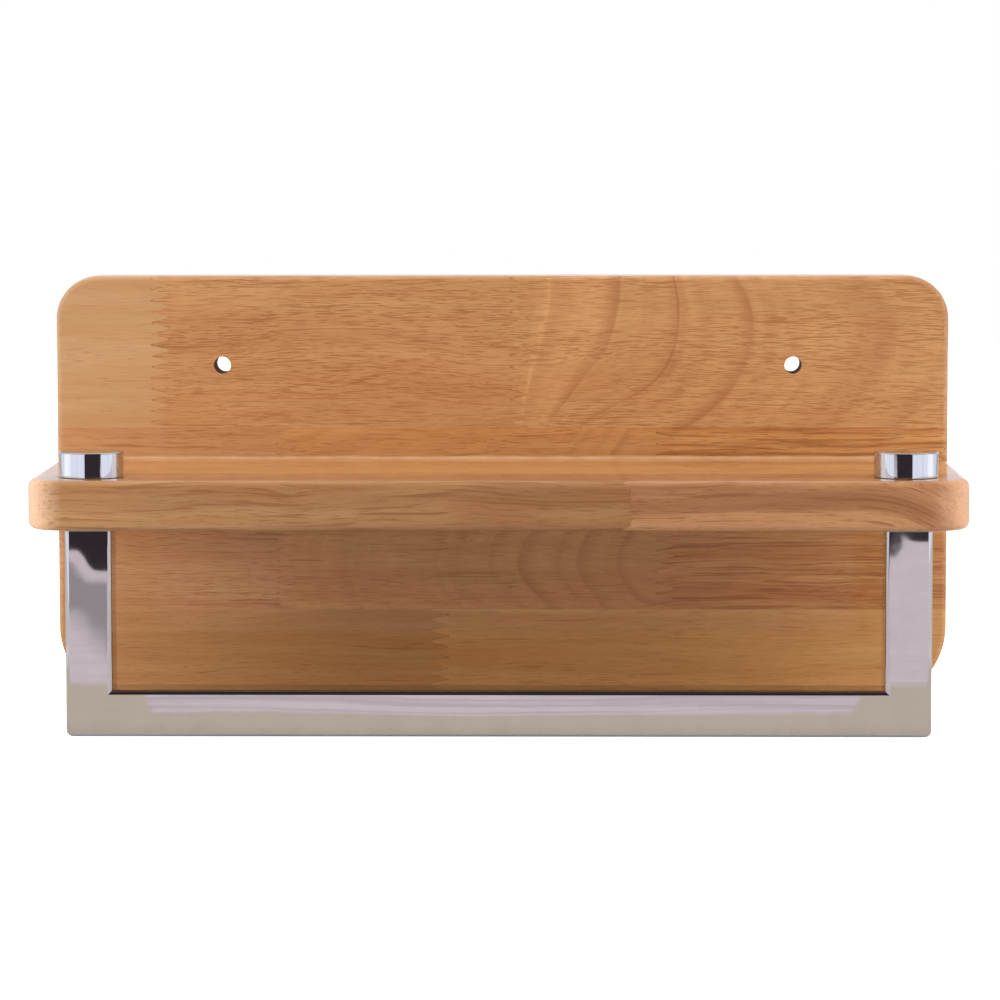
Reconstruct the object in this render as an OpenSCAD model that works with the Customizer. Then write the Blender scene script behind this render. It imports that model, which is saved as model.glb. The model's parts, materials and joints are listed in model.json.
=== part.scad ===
// Wall shelf with a hanging rail, for a bathroom.
// A back board of glued wooden staves carries a shelf board of the same wood, and a
// closed rail of square chrome tube hangs under the shelf on two cap nuts.
// Frame: X runs along the boards, +Y into the wall, +Z up. The origin is on the face of the
// back board that lies against the wall, midway along it, at the height of the wall holes.

/* [Back board] */
// Width of the back board and of the shelf
board_w = 300; // [290:2:360]
// Thickness of the back board
board_t = 16; // [14:1:22]
// Height of the back board above the wall holes
board_up = 30; // [26:1:40]
// Depth of the back board below the wall holes
board_down = 114.5; // [110:0.5:140]
// Radius of the two top corners
top_corner_r = 14.5; // [6:0.5:20]
// Radius of the two bottom corners
bottom_corner_r = 26; // [10:1:28]
// Rounding of the back board's edges
board_edge_r = 1.8; // [0.8:0.2:3]
// Distance between the two wall holes
hole_spacing = 192; // [170:2:200]
// Distance of the holes' midpoint to the right of the board's middle
hole_offset = 1.9; // [-4:0.1:4]
// Diameter of each wall hole
hole_d = 5.8; // [4:0.2:7]

/* [Shelf] */
// Depth of the shelf in front of the back board
shelf_depth = 90; // [80:1:110]
// Thickness of the shelf
shelf_t = 16; // [15:0.5:20]
// Drop from the wall holes to the top of the shelf
shelf_drop = 31.5; // [28:0.5:36]
// Radius of the shelf's two front corners, seen from above
shelf_corner_r = 12; // [6:1:20]
// Rounding of the shelf's edges
shelf_edge_r = 2.4; // [1:0.2:4]

/* [Glued staves] */
// Height of the top row of staves below the wall holes
top_row_low = -21; // [-26:1:-16]
// Height of the glue line between the middle row and the bottom row
middle_row_low = -82.6; // [-86:0.2:-70]
// Width of the front row of staves in the shelf
shelf_front_row = 28.5; // [28:0.5:35]
// Length of the fingers in the finger joints
finger_len = 5.5; // [4:0.5:8]
// Distance from one finger to the next
finger_pitch = 3.6; // [3:0.2:5]
// Flat end of a finger, as a share of the pitch
finger_tip = 0.14; // [0.08:0.02:0.2]

/* [Rail] */
// Outer width of the square tube
tube = 15; // [14:0.5:16]
// Wall of the square tube
tube_wall = 1.2; // [1:0.1:2]
// Outer rounding of the square tube's long edges
tube_edge_r = 1.5; // [0.6:0.1:2]
// Inner rounding of the square tube
tube_inner_r = 0.5; // [0.3:0.1:1]
// Outer width of the rail
rail_w = 277; // [250:1:280]
// Drop from the shelf's underside to the bottom of the rail
rail_drop = 67; // [50:0.5:68]
// Rounding of the rail's two lower corners
rail_corner_r = 2.3; // [1.6:0.1:3]
// Distance from the shelf's front edge back to the rail's axis
rail_setback = 17.5; // [15:0.5:19]
// Thickness of the plate that closes the top of a leg
plug_plate = 1; // [0.8:0.1:2]
// Depth of the threaded block inside a leg
plug_depth = 9; // [6:0.5:14]

/* [Cap nuts] */
// Diameter of a cap nut
cap_d = 20.6; // [18:0.2:24]
// Height of a cap nut
cap_h = 8; // [7:0.1:9]
// Rounding of a cap nut's top edge
cap_edge_r = 0.5; // [0.3:0.1:1.2]
// How far each stud stands inboard of its leg's axis
stud_inset = 0.7; // [0:0.1:1]
// Diameter of the stud's thread
stud_d = 6; // [5:0.5:6]
// Length of the stud
stud_len = 30; // [29:0.5:31]
// Diameter of the washer held in the cap nut
washer_d = 15; // [12:0.5:16]
// Thickness of the washer
washer_t = 0.8; // [0.7:0.1:1]

/* [Hidden] */
$fn = 96;

// Places of the finger joints along X
top_joints = [-115, 6];
middle_joints = [-73, 55];
bottom_joint = -21;
shelf_front_joint = 42.5;
shelf_rear_joint = -80;

// Heights and depths
shelf_top = -shelf_drop;
shelf_low = shelf_top - shelf_t;
shelf_front = -board_t - shelf_depth;
row_line = shelf_front + shelf_front_row;
past = 1;

// Wood screws and dowels that hold the shelf, at half its thickness
fixing_z = shelf_top - shelf_t / 2;
screw_xs = [-110, 0, 110];
screw_d = 4;
screw_head_d = 8;
screw_head_h = 2.4;
screw_len = 45;
screw_tip = 5;
dowel_xs = [-40, 40];
dowel_d = 8;
dowel_in_board = 10;
dowel_len = 30;

// Rail and cap nuts
rail_y = shelf_front + rail_setback;
leg_x = (rail_w - tube) / 2;
rail_low = shelf_low - rail_drop;
bar_z = rail_low + tube / 2;
leg_top = shelf_low - plug_plate;
bore_clearance = 0.05;
stud_x = leg_x - stud_inset;
stud_hole_d = 6.6;
washer_sink = 0.6;
cap_low = shelf_top + washer_t - washer_sink;
cap_bore_depth = 6;
stud_gap = 0.4;
stud_top = cap_low + cap_bore_depth - stud_gap;

// ---- Boards -------------------------------------------------------------------------

// End view of a rim: e wide and t high, with its two outer edges rounded
module rim_profile(t, e) {
    translate([0, e]) square([e, t - 2 * e]);
    intersection() {
        translate([0, e]) circle(e);
        square(e);
    }
    translate([0, t - e]) intersection() {
        circle(e);
        square(e);
    }
}

// Straight rim along +Y, with its rounded side towards +X
module rim_bar(len, t, e) {
    translate([0, len, 0]) rotate([90, 0, 0]) linear_extrude(len) rim_profile(t, e);
}

// Rim around a corner of radius r, from +X round to +Y
module rim_corner(r, t, e) {
    rotate_extrude(angle = 90) translate([r - e, 0]) rim_profile(t, e);
}

// Flat middle of a board: the outline drawn in by the rounding e, with corner arcs
module core_outline(w, low, high, r_low, r_high) {
    low_points = [[-w / 2, low + r_low], [-w / 2 + r_low, low],
                  [w / 2 - r_low, low], [w / 2, low + r_low]];
    high_points = r_high > 0
        ? [[w / 2, high - r_high], [w / 2 - r_high, high],
           [-w / 2 + r_high, high], [-w / 2, high - r_high]]
        : [[w / 2, high], [-w / 2, high]];
    polygon(concat(low_points, high_points));
    for (side = [-1, 1]) {
        translate([side * (w / 2 - r_low), low + r_low]) circle(r_low);
        if (r_high > 0) translate([side * (w / 2 - r_high), high - r_high]) circle(r_high);
    }
}

// Board lying flat from y = low to y = high, with every edge rounded by e and its
// corners by r_low and r_high. With r_high = 0 its high side stays square.
module rounded_slab(w, low, high, t, e, r_low, r_high) {
    high_e = r_high > 0 ? e : 0;
    linear_extrude(t)
        core_outline(w - 2 * e, low + e, high - high_e, r_low - e, max(0, r_high - e));
    translate([-w / 2 + r_low, low + e]) rotate(-90) rim_bar(w - 2 * r_low, t, e);
    if (r_high > 0)
        translate([w / 2 - r_high, high - e]) rotate(90) rim_bar(w - 2 * r_high, t, e);
    for (flip = [0, 1]) mirror([flip, 0, 0]) {
        translate([w / 2 - e, low + r_low]) rim_bar(high - low - r_low - r_high, t, e);
        translate([w / 2 - r_low, low + r_low]) rotate(-90) rim_corner(r_low, t, e);
        if (r_high > 0)
            translate([w / 2 - r_high, high - r_high]) rim_corner(r_high, t, e);
    }
}

// Stands a board that lies flat up against the wall
module upright() {
    rotate([90, 0, 0]) children();
}

// Zigzag of a finger joint around x, from low to high. Its fingers start on the side
// that side names, -1 or 1.
function finger_line(x, low, high, side = 1) =
    let (count = round((high - low) / finger_pitch),
         pitch = (high - low) / count,
         base = x + side * finger_len / 2,
         point = x - side * finger_len / 2,
         flat = finger_tip / 2)
    concat([[base, low]],
        [for (i = [0 : count - 1],
              p = [[base, flat], [point, 0.5 - flat], [point, 0.5 + flat], [base, 1 - flat]])
            [p[0], low + (i + p[1]) * pitch]],
        [[base, high]]);

function plain_line(x, low, high) = [[x, low], [x, high]];
function reversed(points) = [for (i = [len(points) - 1 : -1 : 0]) points[i]];

// The part of a lying board between a left line and a right line
module between(left, right, t) {
    translate([0, 0, -past]) linear_extrude(t + 2 * past)
        polygon(concat(right, reversed(left)));
}

left_end = -board_w / 2 - past;
right_end = board_w / 2 + past;

// Stave of the back board between two lines that run from its row's low to its high
module board_stave(left, right) {
    difference() {
        upright() intersection() {
            rounded_slab(board_w, -board_down, board_up, board_t, board_edge_r,
                         bottom_corner_r, top_corner_r);
            between(left, right, board_t);
        }
        children();
    }
}

// Stave of the shelf between two lines that run from its row's front to its rear
module shelf_stave(left, right) {
    difference() {
        translate([0, 0, shelf_low]) intersection() {
            rounded_slab(board_w, shelf_front, -board_t, shelf_t, shelf_edge_r,
                         shelf_corner_r, 0);
            between(left, right, shelf_t);
        }
        children();
    }
}

module wall_hole(side) {
    translate([hole_offset + side * hole_spacing / 2, past, 0]) rotate([90, 0, 0])
        cylinder(d = hole_d, h = board_t + 2 * past);
}

module shelf_screw(x) {
    translate([x, 0, fixing_z]) rotate([90, 0, 0]) rotate_extrude()
        polygon([[0, 0], [screw_head_d / 2, 0], [screw_d / 2, screw_head_h],
                 [screw_d / 2, screw_len - screw_tip], [0, screw_len]]);
}

module shelf_dowel(x) {
    translate([x, dowel_in_board - board_t, fixing_z]) rotate([90, 0, 0])
        cylinder(d = dowel_d, h = dowel_len);
}

top_lines = [for (x = top_joints) finger_line(x, top_row_low, board_up + past)];
middle_lines = [for (x = middle_joints) finger_line(x, middle_row_low, top_row_low)];
bottom_line = finger_line(bottom_joint, -board_down - past, middle_row_low, -1);
front_line = finger_line(shelf_front_joint, shelf_front - past, row_line);
rear_line = finger_line(shelf_rear_joint, row_line, -board_t + past, -1);

module top_left_stave() {
    color([0.80, 0.64, 0.45])
        board_stave(plain_line(left_end, top_row_low, board_up + past), top_lines[0]);
}

module top_middle_stave() {
    color([0.72, 0.50, 0.34]) board_stave(top_lines[0], top_lines[1]) wall_hole(-1);
}

module top_right_stave() {
    color([0.76, 0.55, 0.37])
        board_stave(top_lines[1], plain_line(right_end, top_row_low, board_up + past))
            wall_hole(1);
}

module middle_left_stave() {
    color([0.70, 0.45, 0.28])
        board_stave(plain_line(left_end, middle_row_low, top_row_low), middle_lines[0])
            shelf_screw(screw_xs[0]);
}

module middle_centre_stave() {
    color([0.73, 0.53, 0.37])
        board_stave(middle_lines[0], middle_lines[1]) {
            shelf_screw(screw_xs[1]);
            for (x = dowel_xs) shelf_dowel(x);
        }
}

module middle_right_stave() {
    color([0.70, 0.49, 0.31])
        board_stave(middle_lines[1], plain_line(right_end, middle_row_low, top_row_low))
            shelf_screw(screw_xs[2]);
}

module bottom_left_stave() {
    color([0.68, 0.48, 0.31])
        board_stave(plain_line(left_end, -board_down - past, middle_row_low), bottom_line);
}

module bottom_right_stave() {
    color([0.72, 0.54, 0.36])
        board_stave(bottom_line, plain_line(right_end, -board_down - past, middle_row_low));
}

module shelf_front_left_stave() {
    color([0.76, 0.57, 0.38])
        shelf_stave(plain_line(left_end, shelf_front - past, row_line), front_line)
            stud_hole(-1);
}

module shelf_front_right_stave() {
    color([0.74, 0.52, 0.35])
        shelf_stave(front_line, plain_line(right_end, shelf_front - past, row_line))
            stud_hole(1);
}

module shelf_rear_left_stave() {
    color([0.75, 0.54, 0.35])
        shelf_stave(plain_line(left_end, row_line, -board_t + past), rear_line)
            shelf_screw(screw_xs[0]);
}

module shelf_rear_right_stave() {
    color([0.78, 0.59, 0.40])
        shelf_stave(rear_line, plain_line(right_end, row_line, -board_t + past)) {
            for (x = [screw_xs[1], screw_xs[2]]) shelf_screw(x);
            for (x = dowel_xs) shelf_dowel(x);
        }
}

module shelf_screws() {
    color([0.62, 0.62, 0.60]) for (x = screw_xs) shelf_screw(x);
}

module shelf_dowels() {
    color([0.85, 0.72, 0.52]) for (x = dowel_xs) shelf_dowel(x);
}

// ---- Rail ---------------------------------------------------------------------------

chrome = [0.80, 0.80, 0.83];

// Square with rounded corners, centred
module rounded_square(size, r) {
    square([size, size - 2 * r], center = true);
    square([size - 2 * r, size], center = true);
    for (x = [-1, 1], y = [-1, 1])
        translate([x * (size / 2 - r), y * (size / 2 - r)]) circle(r);
}

module tube_profile() {
    difference() {
        rounded_square(tube, tube_edge_r);
        rounded_square(tube - 2 * tube_wall, tube_inner_r);
    }
}

// Front view of the whole rail, filled, with its two lower corners rounded
module rail_front_view() {
    half = rail_w / 2;
    translate([-half, rail_low + rail_corner_r]) square([rail_w, rail_drop]);
    translate([-half + rail_corner_r, rail_low])
        square([rail_w - 2 * rail_corner_r, 2 * rail_corner_r]);
    for (side = [-1, 1])
        translate([side * (half - rail_corner_r), rail_low + rail_corner_r])
            circle(rail_corner_r);
}

// Front view of the room that the right leg may fill: everything on its side of the mitre
module leg_view() {
    reach = tube / 2 + past;
    translate([leg_x, bar_z])
        polygon([[-reach, reach], [reach, -reach], [reach, rail_drop], [-reach, rail_drop]]);
}

// Front view of the room between the two mitres, for the cross bar
module bar_view() {
    reach = tube / 2 + past;
    translate([0, bar_z])
        polygon([[leg_x - reach, reach], [leg_x + reach, -reach],
                 [-leg_x - reach, -reach], [-leg_x + reach, reach]]);
}

// Extrudes a front view through the rail's depth
module through_rail() {
    translate([0, rail_y + tube, 0]) rotate([90, 0, 0]) linear_extrude(2 * tube) children();
}

module leg() {
    intersection() {
        translate([leg_x, rail_y, rail_low]) linear_extrude(leg_top - rail_low) tube_profile();
        through_rail() rail_front_view();
        through_rail() leg_view();
    }
}

module cross_bar() {
    color(chrome) intersection() {
        translate([-rail_w / 2, rail_y, bar_z]) rotate([90, 0, 90])
            linear_extrude(rail_w) tube_profile();
        through_rail() rail_front_view();
        through_rail() bar_view();
    }
}

module right_leg() {
    color(chrome) leg();
}

module left_leg() {
    color(chrome) mirror([1, 0, 0]) leg();
}

// Plate and threaded block welded into the top of a leg
module end_plug(side) {
    difference() {
        translate([side * leg_x, rail_y, 0]) {
            translate([0, 0, leg_top]) linear_extrude(plug_plate)
                rounded_square(tube, tube_edge_r);
            translate([0, 0, leg_top - plug_depth]) linear_extrude(plug_depth)
                rounded_square(tube - 2 * tube_wall, tube_inner_r);
        }
        stud(side);
    }
}

module left_end_plug() {
    color([0.60, 0.58, 0.55]) end_plug(-1);
}

module right_end_plug() {
    color([0.60, 0.58, 0.55]) end_plug(1);
}

// ---- Studs, washers and cap nuts ------------------------------------------------------

module stud(side) {
    translate([side * stud_x, rail_y, stud_top - stud_len]) cylinder(d = stud_d, h = stud_len);
}

module stud_hole(side) {
    translate([side * stud_x, rail_y, shelf_low - past])
        cylinder(d = stud_hole_d, h = shelf_t + 2 * past);
}

module left_stud() {
    color([0.66, 0.66, 0.64]) stud(-1);
}

module right_stud() {
    color([0.66, 0.66, 0.64]) stud(1);
}

module washer(side) {
    translate([side * stud_x, rail_y, shelf_top]) difference() {
        cylinder(d = washer_d, h = washer_t);
        translate([0, 0, -past]) cylinder(r = stud_d / 2 + bore_clearance, h = washer_t + 2 * past);
    }
}

module left_washer() {
    color([0.92, 0.92, 0.90]) washer(-1);
}

module right_washer() {
    color([0.92, 0.92, 0.90]) washer(1);
}

// Smooth round nut with a blind threaded hole and a seat for the washer underneath
module cap_nut(side) {
    translate([side * stud_x, rail_y, cap_low]) difference() {
        rotate_extrude() {
            square([cap_d / 2 - cap_edge_r, cap_h]);
            square([cap_d / 2, cap_h - cap_edge_r]);
            translate([cap_d / 2 - cap_edge_r, cap_h - cap_edge_r]) circle(cap_edge_r);
        }
        translate([0, 0, -past])
            cylinder(r = stud_d / 2 + bore_clearance, h = cap_bore_depth + past);
        translate([0, 0, -past])
            cylinder(r = washer_d / 2 + bore_clearance, h = washer_sink + past);
    }
}

module left_cap_nut() {
    color(chrome) cap_nut(-1);
}

module right_cap_nut() {
    color(chrome) cap_nut(1);
}

top_left_stave();
top_middle_stave();
top_right_stave();
middle_left_stave();
middle_centre_stave();
middle_right_stave();
bottom_left_stave();
bottom_right_stave();
shelf_front_left_stave();
shelf_front_right_stave();
shelf_rear_left_stave();
shelf_rear_right_stave();
shelf_screws();
shelf_dowels();
cross_bar();
left_leg();
right_leg();
left_end_plug();
right_end_plug();
left_stud();
right_stud();
left_washer();
right_washer();
left_cap_nut();
right_cap_nut();
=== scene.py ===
import json
import math
import bmesh
import bpy
from mathutils import Matrix, Vector


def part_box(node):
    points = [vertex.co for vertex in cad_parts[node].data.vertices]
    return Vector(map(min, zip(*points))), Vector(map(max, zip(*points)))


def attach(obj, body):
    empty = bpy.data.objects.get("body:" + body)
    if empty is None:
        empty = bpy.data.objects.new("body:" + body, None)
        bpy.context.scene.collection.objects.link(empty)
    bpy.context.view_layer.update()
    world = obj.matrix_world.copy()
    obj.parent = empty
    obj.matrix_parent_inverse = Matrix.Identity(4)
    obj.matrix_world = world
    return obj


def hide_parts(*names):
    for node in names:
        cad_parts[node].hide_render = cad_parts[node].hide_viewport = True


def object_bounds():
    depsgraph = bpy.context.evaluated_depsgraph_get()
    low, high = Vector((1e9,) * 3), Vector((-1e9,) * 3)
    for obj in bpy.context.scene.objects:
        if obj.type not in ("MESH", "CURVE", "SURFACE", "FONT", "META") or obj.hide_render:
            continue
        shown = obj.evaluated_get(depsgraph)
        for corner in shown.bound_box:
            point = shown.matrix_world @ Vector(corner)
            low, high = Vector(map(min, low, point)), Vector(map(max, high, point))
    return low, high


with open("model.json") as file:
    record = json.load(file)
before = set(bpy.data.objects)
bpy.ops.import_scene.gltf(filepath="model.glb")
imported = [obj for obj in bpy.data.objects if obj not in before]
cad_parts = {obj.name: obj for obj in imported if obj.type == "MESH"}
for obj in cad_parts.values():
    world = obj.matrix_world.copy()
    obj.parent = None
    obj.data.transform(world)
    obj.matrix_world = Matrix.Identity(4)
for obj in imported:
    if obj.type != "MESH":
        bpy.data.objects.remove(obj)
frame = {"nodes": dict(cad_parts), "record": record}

cad_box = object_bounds()
MM = 0.001

# ---- Places taken from the frame -------------------------------------------------------

board_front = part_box("top_middle_stave")[0].y
shelf_low, shelf_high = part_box("shelf_front_left_stave")
shelf_top = shelf_high.z
rail_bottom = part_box("cross_bar")[0].z
leg_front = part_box("right_leg")[0].y
floor_z = cad_box[0].z - 0.2 * MM       # just below the rail


# ---- Node helpers ----------------------------------------------------------------------

class Graph:
    """A material's node tree, with short calls for the nodes used here."""

    def __init__(self, name):
        self.material = bpy.data.materials.new(name)
        self.material.use_nodes = True
        self.tree = self.material.node_tree
        self.tree.nodes.clear()
        surface = self.add("ShaderNodeOutputMaterial").inputs["Surface"]
        self.shader = self.add("ShaderNodeBsdfPrincipled")
        self.join(surface, self.shader.outputs["BSDF"])

    def add(self, kind, **settings):
        """A new node of this kind, with its settings."""
        node = self.tree.nodes.new(kind)
        for key, value in settings.items():
            setattr(node, key, value)
        return node

    def join(self, socket, value):
        """Links a socket to another node's output, or gives it a plain value."""
        if isinstance(value, bpy.types.NodeSocket):
            self.tree.links.new(value, socket)
        else:
            socket.default_value = value

    def set(self, name, value):
        """Sets or links one input of the shader."""
        self.join(self.shader.inputs[name], value)

    def math(self, operation, a, b=0.0, c=0.0):
        node = self.add("ShaderNodeMath", operation=operation)
        for socket, value in zip(node.inputs, (a, b, c)):
            self.join(socket, value)
        return node.outputs[0]

    def total(self, *values):
        result = values[0]
        for value in values[1:]:
            result = self.math("ADD", result, value)
        return result

    def distance(self, a, b):
        """Length of the vector (a, b)."""
        return self.math("SQRT", self.math("MULTIPLY_ADD", a, a, self.math("MULTIPLY", b, b)))

    def fade(self, value, low, high, to_low=0.0, to_high=1.0):
        """Soft S-shaped map of low..high onto to_low..to_high, held at both ends."""
        node = self.add("ShaderNodeMapRange", interpolation_type="SMOOTHSTEP")
        for socket, given in zip(node.inputs, (value, low, high, to_low, to_high)):
            self.join(socket, given)
        return node.outputs["Result"]

    def fade_line(self, value, low, high, to_low, to_high):
        """Straight map of low..high onto to_low..to_high, held at both ends."""
        node = self.add("ShaderNodeMapRange")
        for socket, given in zip(node.inputs, (value, low, high, to_low, to_high)):
            self.join(socket, given)
        return node.outputs["Result"]

    def mix(self, share, a, b):
        """Colour a where share is 0 and colour b where it is 1."""
        node = self.add("ShaderNodeMix", data_type="RGBA")
        factor, colour_a, colour_b, colour_out = 0, 6, 7, 2     # its sockets for colours
        self.join(node.inputs[factor], share)
        self.join(node.inputs[colour_a], a)
        self.join(node.inputs[colour_b], b)
        return node.outputs[colour_out]

    def vector(self, x, y, z):
        node = self.add("ShaderNodeCombineXYZ")
        for socket, value in zip(node.inputs, (x, y, z)):
            self.join(socket, value)
        return node.outputs[0]

    def place(self):
        """The surface point in the row frame, in metres, as x, y and z."""
        source = self.add("ShaderNodeTexCoord").outputs["Object"]
        split = self.add("ShaderNodeSeparateXYZ")
        self.join(split.inputs[0], source)
        return split.outputs[0], split.outputs[1], split.outputs[2]

    def noise(self, vector, scale=1.0, detail=2.0, roughness=0.5):
        node = self.add("ShaderNodeTexNoise")
        self.join(node.inputs["Vector"], vector)
        self.join(node.inputs["Scale"], scale)
        self.join(node.inputs["Detail"], detail)
        self.join(node.inputs["Roughness"], roughness)
        return node.outputs[0]

    def bump(self, height, distance, under=None):
        """Relief that is distance deep where height is 1, over another relief if given."""
        node = self.add("ShaderNodeBump")
        self.join(node.inputs["Strength"], 1.0)
        self.join(node.inputs["Distance"], distance)
        self.join(node.inputs["Height"], height)
        if under is not None:
            self.join(node.inputs["Normal"], under)
        return node.outputs[0]


def rgb(red, green, blue):
    """A colour as seen, 0 to 255, turned into linear light."""
    def linear(value):
        value /= 255
        return value / 12.92 if value <= 0.04045 else ((value + 0.055) / 1.055) ** 2.4
    return (linear(red), linear(green), linear(blue), 1.0)


def scaled(colour, *factors):
    """A linear colour times one factor, or times one each for red, green and blue."""
    factors = factors * 3 if len(factors) == 1 else factors
    return tuple(min(1.0, c * f) for c, f in zip(colour, factors)) + (1.0,)


# ---- Wood ------------------------------------------------------------------------------

ROSE_LINE = rgb(160, 98, 62)
# Painted shade: the darker colour of a hole's bare inner wall, standing in for the shade inside
# it
SHADED_HOLE_WALL = rgb(172, 132, 102)
COAT = 0.9
FINGER_PITCH = 3.6 * MM
FINGER_FLAT = 0.07      # half a finger's flat end, as a share of the pitch

SEED_STEP = 1.37        # how far one stave's noise is shifted from the next one's
WANDER = (13.0, 38.0, 30.0)             # fineness in x, y and z of the grain's wandering
WANDER_Y, WANDER_Z = 5 * MM, 6 * MM     # and how far it goes

# Noise stretched along the grain: its fineness along and across it, per metre, and a shift
BROAD = (7.0, 70.0, 0.0)
STREAK = (15.0, 420.0, 3.1)
FIBRE = (90.0, 2800.0, 7.7)
FLUSH = (11.0, 170.0, 31.0)
CROWDING = (16.0, 85.0, 5.3)
LONG_LINE = (24.0, 1100.0, 9.1)
PORES = ((105.0, 2700.0, 13.0), (160.0, 3400.0, 17.0))
ARC_GAPS = (30.0, 60.0, 27.0)
JOINT_GAPS = (60.0, 420.0, 21.0)

# How strongly each layer of the figure shows, and how strongly the painted highlight on a stave's
# rounded end shows
BAND_SHARE, BROAD_SHARE, STREAK_SHARE = 0.55, 0.35, 0.38
FLUSH_SHARE, END_HIGHLIGHT_SHARE, BUSY_SHARE, RIPPLE_SHARE = 0.42, 0.85, 0.22, 0.20
LONG_LINE_DEPTH, PORE_DEPTH, FIBRE_DEPTH = 0.58, 0.72, 0.18


class Grain(Graph):
    """A stave's node tree: its surface point x, y, z, the grain's bends, and noise along it."""

    def __init__(self, name, seed, knots, dips):
        super().__init__(name)
        self.x, self.y, self.z = self.place()
        self.offset = seed * SEED_STEP
        self.flow_z = self.z
        for knot in knots:
            self.bend_round_knot(*knot)
        for start, amount in dips:
            past = self.math("MAXIMUM", self.math("SUBTRACT", self.x, start * MM), 0.0)
            self.flow_z = self.math("MULTIPLY_ADD", self.math("POWER", past, 3.0), amount,
                                    self.flow_z)
        wander_at = self.vector(self.math("MULTIPLY_ADD", self.x, WANDER[0], self.offset),
                                self.math("MULTIPLY", self.y, WANDER[1]),
                                self.math("MULTIPLY", self.flow_z, WANDER[2]))
        self.wander = self.math("SUBTRACT", self.noise(wander_at, detail=2.0), 0.5)
        self.bent_y = self.math("MULTIPLY_ADD", self.wander, WANDER_Y, self.y)
        self.bent_z = self.math("MULTIPLY_ADD", self.wander, WANDER_Z, self.flow_z)

    def bend_round_knot(self, knot_x, knot_z, radius, push):
        """Draws the grain apart round a knot that is 1.8 times as long as it is high."""
        dx = self.math("DIVIDE", self.math("SUBTRACT", self.x, knot_x * MM), 1.8 * radius * MM)
        dz = self.math("SUBTRACT", self.flow_z, knot_z * MM)
        dz_share = self.math("DIVIDE", dz, radius * MM)
        apart = self.math("ADD", self.math("MULTIPLY", dx, dx),
                          self.math("MULTIPLY", dz_share, dz_share))
        pull = self.math("DIVIDE", push, self.math("ADD", apart, 1.0))
        self.flow_z = self.math("SUBTRACT", self.flow_z, self.math("MULTIPLY", dz, pull))

    def grain_noise(self, stretch, detail=1.0, roughness=0.5):
        """Noise stretched along the grain."""
        along, across, shift = stretch
        at = self.vector(self.math("MULTIPLY_ADD", self.x, along, self.offset + shift),
                         self.math("MULTIPLY_ADD", self.bent_y, across, self.offset),
                         self.math("MULTIPLY_ADD", self.bent_z, across, shift))
        return self.noise(at, detail=detail, roughness=roughness)


def clear_below(g, value, edge, width):
    """1 well below the edge, falling to 0 over the width."""
    return g.fade(value, edge, edge + width, 1.0, 0.0)


def ring_lines(g, field, lines):
    """Sum of thin rings where the field passes each (place, width, strength), in mm.
    A ring is sharp on its far side and fades over its width on the near side."""
    result = 0.0
    for place, width, strength in lines:
        away = g.math("SUBTRACT", field, place * MM)
        rise = g.fade(away, -width * MM, 0.0)
        fall = g.fade(away, 0.0, 0.25 * width * MM, strength, 0.0)
        result = g.math("MULTIPLY_ADD", rise, fall, result)
    return g.math("MINIMUM", result, 1.0)


def finger_mark(g, along, across, joint):
    """1 on the thin glue line along the zigzag of a finger joint, and fainter away from the
    fingers' points."""
    base, point, low, high, count = joint
    turn = g.math("FRACT", g.fade_line(across, low, high, 0.0, count))
    from_middle = g.math("ABSOLUTE", g.math("SUBTRACT", turn, 0.5))
    line = g.fade_line(from_middle, 0.5 - FINGER_FLAT, FINGER_FLAT, base, point)
    away = g.math("ABSOLUTE", g.math("SUBTRACT", along, line))
    tip = g.fade(g.math("ABSOLUTE", g.math("SUBTRACT", line, point)), 0.0, 1.2 * MM, 1.0, 0.25)
    return g.math("MULTIPLY", tip, g.fade(away, 0.1 * MM, 0.75 * MM, 1.0, 0.0))


def growth_tone(g, bands, pith, streak):
    """From pale to deep wood: growth bands, which are shells round the pith and show as bands
    on a face and arcs on an end, then broad patches and fine streaks."""
    shell = g.distance(g.math("SUBTRACT", g.bent_y, pith[0] * MM),
                       g.math("SUBTRACT", g.bent_z, pith[1] * MM))
    band_at = g.vector(g.math("MULTIPLY_ADD", g.x, 2.5, g.offset),
                       g.math("MULTIPLY", shell, 210.0), g.offset)
    band = g.fade(g.noise(band_at, detail=3.0, roughness=0.6), 0.34, 0.68)
    broad = g.fade(g.grain_noise(BROAD, detail=3.0, roughness=0.55), 0.32, 0.68)
    return g.total(g.math("MULTIPLY", band, BAND_SHARE * bands),
                   g.math("MULTIPLY", broad, BROAD_SHARE),
                   g.math("MULTIPLY", g.fade(streak, 0.35, 0.68), STREAK_SHARE))


def pores_and_lines(g, dashes, lines, crowd, plain):
    """Short open pores, denser where crowd is 1, and long dark lines. plain is 0 where the
    painted highlight on a stave's end washes both out."""
    short_cut = 0.68 - 0.14 * dashes
    pores = [g.fade(g.grain_noise(stretch), short_cut, short_cut + 0.09) for stretch in PORES]
    dash = g.math("MULTIPLY", g.math("MAXIMUM", *pores), g.math("MULTIPLY_ADD", crowd, 0.5, 0.5))
    long_line = g.fade(g.grain_noise(LONG_LINE), 0.72 - 0.14 * lines, 0.82 - 0.12 * lines)
    return g.math("MULTIPLY", dash, plain), g.math("MULTIPLY", long_line, plain)


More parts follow.
